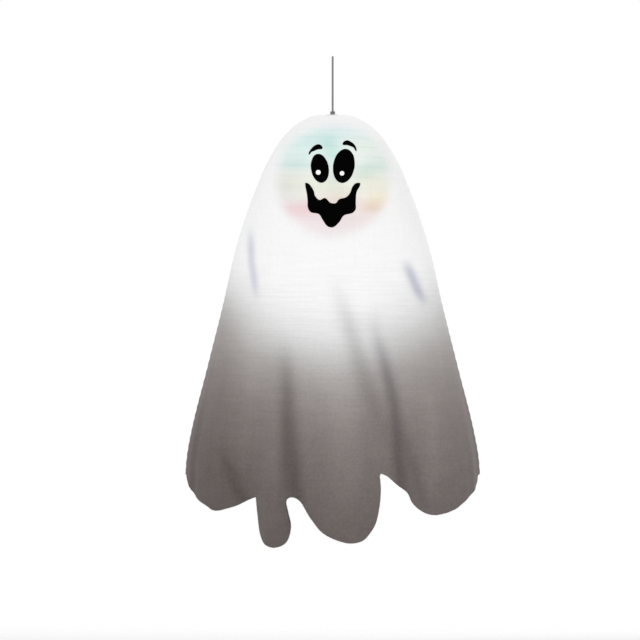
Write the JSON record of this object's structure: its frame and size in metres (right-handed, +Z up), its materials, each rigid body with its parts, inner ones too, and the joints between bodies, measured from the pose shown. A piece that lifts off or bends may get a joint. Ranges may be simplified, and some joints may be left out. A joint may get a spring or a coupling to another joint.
{
  "type": "hanging ghost lantern",
  "caption": "Hanging ghost decoration: lobed cloth cover with a cheerful face over a round ribbed lantern, lit from inside by a small battery lamp on a hook.",
  "frame": {"origin": "hanging point: the inner top of the hanging loop", "axes": "+Z up along the cord, -Y out of the face, +X to the right as seen from the front"},
  "size_m": [0.5976, 0.3486, 0.996],
  "materials": {
    "cover_cloth": "thin woven polyester, white at the head and dyed to warm grey-brown at the hem",
    "face_black": "matt black cloth",
    "face_white": "matt white cloth",
    "cord": "grey braided cord",
    "dark_plastic": "matt moulded plastic",
    "lantern_cloth": "thin white nylon, pleated between the ribs",
    "steel_wire": "bright drawn wire",
    "white_plastic": "matt moulded plastic with fine grain",
    "frosted_lens": "frosted clear plastic",
    "board": "green circuit board",
    "nickel": "nickel plated steel",
    "cell_sleeve": "plain printed sleeve",
    "led_cyan": "tinted epoxy",
    "led_green": "tinted epoxy",
    "led_yellow": "tinted epoxy",
    "led_pink": "tinted epoxy",
    "led_violet": "tinted epoxy",
    "lead_red": "soft insulation",
    "lead_black": "soft insulation"
  },
  "bodies": {
    "lantern": {"ghost_front_panel": "cover_cloth", "ghost_back_panel": "cover_cloth", "left_eye": "face_black", "right_eye": "face_black", "left_brow": "face_black", "right_brow": "face_black", "mouth": "face_black", "left_glint": "face_white", "right_glint": "face_white", "hanging_cord": "cord", "cord_collar": "dark_plastic", "crown_grommet": "dark_plastic", "lantern_skin_front_left": "lantern_cloth", "lantern_skin_front_right": "lantern_cloth", "lantern_skin_back_right": "lantern_cloth", "lantern_skin_back_left": "lantern_cloth", "crown_washer": "steel_wire", "upper_ring": "steel_wire", "lower_ring": "steel_wire", "rib_spiral": "steel_wire", "expander": "steel_wire", "hanger_hub": "white_plastic"},
    "hook": {"lamp_hook": "steel_wire"},
    "lamp": {"switch_body": "dark_plastic", "door_hinge_pin": "steel_wire", "lamp_front_shell": "white_plastic", "lamp_rear_shell": "white_plastic", "lamp_lens": "frosted_lens", "led_board": "board", "case_screw_1": "nickel", "case_screw_2": "nickel", "case_screw_3": "nickel", "case_screw_4": "nickel", "contact_spring_1": "nickel", "contact_spring_2": "nickel", "contact_spring_3": "nickel", "contact_tab_plus": "nickel", "contact_link_top": "nickel", "contact_link_bottom": "nickel", "contact_tab_minus": "nickel", "battery_1": "cell_sleeve", "battery_2": "cell_sleeve", "battery_3": "cell_sleeve", "led_cyan": "led_cyan", "led_green": "led_green", "led_yellow": "led_yellow", "led_pink": "led_pink", "led_violet": "led_violet", "lead_red": "lead_red", "lead_black": "lead_black"},
    "door": {"battery_door": "white_plastic"},
    "door_screw": {"door_screw": "nickel"},
    "switch": {"switch_slider": "dark_plastic"}
  },
  "joints": [
    {"name": "hook_swing", "type": "hinge", "parent": "lantern", "child": "hook", "pos_m": [0, 0, -0.13535], "axis": [0, 1, 0], "range_deg": [-6, 6]},
    {"name": "lamp_swing", "type": "hinge", "parent": "hook", "child": "lamp", "pos_m": [0, 0, -0.19635], "axis": [1, 0, 0], "range_deg": [-25, 25]},
    {"name": "door_hinge", "type": "hinge", "parent": "lamp", "child": "door", "pos_m": [0, 0.014, -0.2689], "axis": [-1, 0, 0], "range_deg": [0, 100]},
    {"name": "door_screw_turn", "type": "hinge", "parent": "door", "child": "door_screw", "pos_m": [0, 0.014, -0.2074], "axis": [0, 1, 0], "range_deg": [0, 720]},
    {"name": "switch_slide", "type": "slide", "parent": "lamp", "child": "switch", "axis": [1, 0, 0], "range_m": [0, 0.004]}
  ]
}
